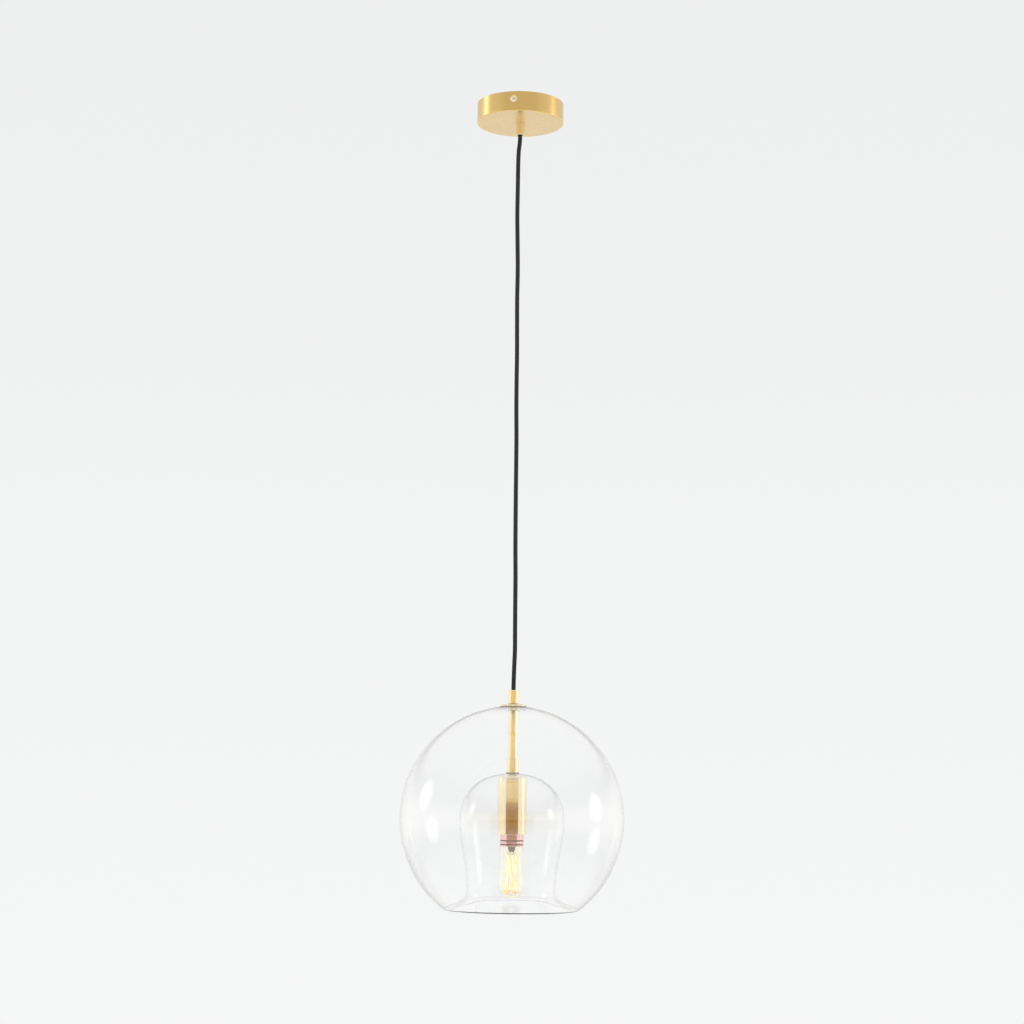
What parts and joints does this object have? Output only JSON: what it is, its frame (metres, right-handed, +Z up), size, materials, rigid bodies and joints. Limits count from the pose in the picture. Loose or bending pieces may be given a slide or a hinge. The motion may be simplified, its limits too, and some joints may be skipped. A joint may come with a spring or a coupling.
{
  "type": "pendant ceiling light",
  "caption": "Brass drum canopy with a black textile cord, holding a clear double-walled glass globe with an inner bell, a brass lamp cup and a screw-in filament bulb.",
  "frame": {"origin": "on the light's axis, in the plane of the ceiling, where the bracket and the canopy's rim rest", "axes": "+Z up, against the ceiling; the light hangs along -Z; -Y is the front, where one of the two side screws faces"},
  "size_m": [0.3, 0.2998, 1.1051],
  "materials": {
    "canopy_brass": "satin",
    "polished_brass": "polished",
    "plated_steel": "satin",
    "nylon": "matte",
    "gasket": "matte",
    "textile_cord": "matte",
    "live_core": "satin",
    "neutral_core": "satin",
    "earth_core": "satin",
    "clear_glass": "gloss",
    "bulb_glass": "gloss",
    "rose_collar": "gloss",
    "bulb_metal": "satin",
    "black_insulator": "gloss",
    "circuit_board": "satin",
    "filament": "matte"
  },
  "bodies": {
    "ceiling_mount": {"ceiling_bracket": "plated_steel", "canopy": "canopy_brass", "canopy_screws": "polished_brass", "earth_screw": "plated_steel", "earth_tag": "plated_steel", "terminal_block": "nylon", "terminal_clamps": "polished_brass", "terminal_screws": "plated_steel", "block_screw": "plated_steel", "grip_sleeve": "polished_brass", "grip_nipple": "polished_brass", "grip_washer": "plated_steel", "grip_locknut": "plated_steel", "grip_collet": "nylon", "cord_head": "textile_cord", "core_live": "live_core", "core_neutral": "neutral_core", "core_earth": "earth_core"},
    "cord_bend_at_grip": {"cord_bend_top": "textile_cord"},
    "hanging_cord": {"cord": "textile_cord"},
    "cord_bend_at_cap": {"cord_bend_bottom": "textile_cord"},
    "cord_end": {"cord_foot": "textile_cord"},
    "pendant": {"top_cap": "polished_brass", "cap_collet": "nylon", "flange_disc": "polished_brass", "neck_gasket": "gasket", "threaded_rod": "polished_brass", "stem_tube": "polished_brass", "stem_collar": "polished_brass", "bell_gasket_top": "gasket", "glass_globe": "clear_glass", "glass_bell": "clear_glass", "bell_gasket_bottom": "gasket", "lamp_cup": "polished_brass", "cup_washer": "plated_steel", "cup_nut": "plated_steel", "holder_cap": "nylon", "holder_body": "nylon", "holder_shell": "polished_brass", "centre_contact": "polished_brass", "side_contact": "polished_brass", "holder_earth": "polished_brass", "holder_screws": "plated_steel", "lamp_core_live": "live_core", "lamp_core_neutral": "neutral_core", "lamp_core_earth": "earth_core"},
    "bulb_contact": {"bulb_tip": "bulb_metal"},
    "bulb": {"bulb_insulator": "black_insulator", "bulb_cap": "bulb_metal", "bulb_driver": "circuit_board", "bulb_collar": "rose_collar", "bulb_glass": "bulb_glass", "bulb_stem": "bulb_glass", "bulb_filaments": "filament", "bulb_supports": "bulb_metal"}
  },
  "joints": [
    {"name": "swing_fore_aft", "type": "hinge", "parent": "ceiling_mount", "child": "cord_bend_at_grip", "pos_m": [0, 0, -0.044], "axis": [1, 0, 0], "range_deg": [-30, 30]},
    {"name": "swing_sideways", "type": "hinge", "parent": "cord_bend_at_grip", "child": "hanging_cord", "pos_m": [0, 0, -0.044], "axis": [0, 1, 0], "range_deg": [-30, 30]},
    {"name": "tilt_fore_aft", "type": "hinge", "parent": "hanging_cord", "child": "cord_bend_at_cap", "pos_m": [0, 0, -0.814], "axis": [1, 0, 0], "range_deg": [-25, 25]},
    {"name": "tilt_sideways", "type": "hinge", "parent": "cord_bend_at_cap", "child": "cord_end", "pos_m": [0, 0, -0.814], "axis": [0, 1, 0], "range_deg": [-25, 25]},
    {"name": "cord_twist", "type": "hinge", "parent": "cord_end", "child": "pendant", "pos_m": [0, 0, -0.814], "axis": [0, 0, 1], "range_deg": [-180, 180], "stiffness_Nm_per_rad": 0.004},
    {"name": "bulb_travel", "type": "slide", "parent": "pendant", "child": "bulb_contact", "axis": [0, 0, -1], "range_m": [0, 0.00907]},
    {"name": "bulb_turn", "type": "hinge", "parent": "bulb_contact", "child": "bulb", "pos_m": [0, 0, -1.06], "axis": [0, 0, -1], "range_deg": [0, 900]}
  ],
  "couplings": [
    {"joint": "bulb_turn", "follows": "bulb_travel", "rad_per_m": 1730.9}
  ]
}
